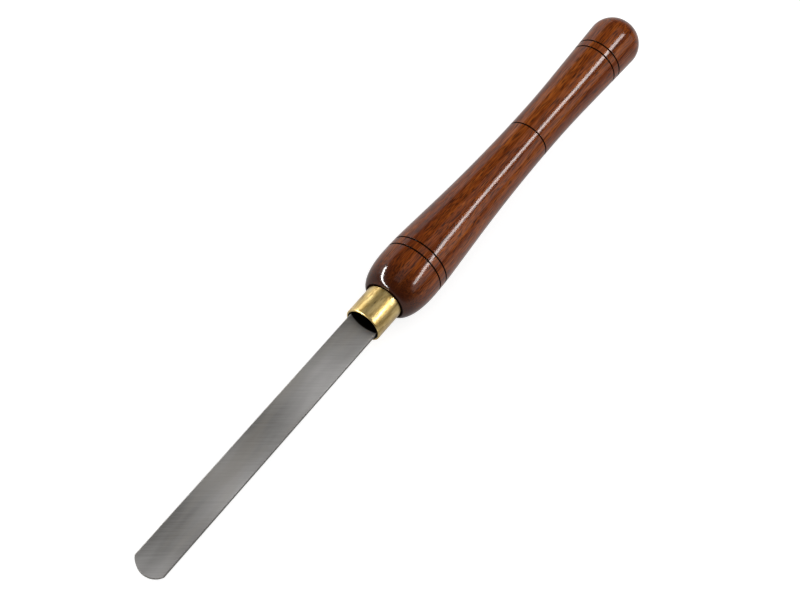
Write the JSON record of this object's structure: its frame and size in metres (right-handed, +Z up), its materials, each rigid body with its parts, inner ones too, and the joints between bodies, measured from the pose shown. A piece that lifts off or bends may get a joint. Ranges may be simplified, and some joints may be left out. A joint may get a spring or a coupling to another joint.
{
  "type": "round nose turning chisel",
  "caption": "Woodturning scraper with a flat round-nosed steel blade, a brass ferrule and a turned hardwood handle with burned lines.",
  "frame": {"origin": "centre of the bounding box's bottom face, on the surface the tool lies on", "axes": "+X along the tool from the butt to the nose, +Z up, +Y to the left of the nose"},
  "size_m": [0.3878, 0.0322, 0.0429],
  "materials": {
    "blade_steel": "satin ground, with faint grinding lines near the nose",
    "ferrule_brass": "turned and polished",
    "handle_wood": "reddish brown hardwood under gloss lacquer, with black burned lines"
  },
  "bodies": {
    "root": {"blade": "blade_steel", "ferrule": "ferrule_brass", "handle": "handle_wood"}
  },
  "joints": []
}
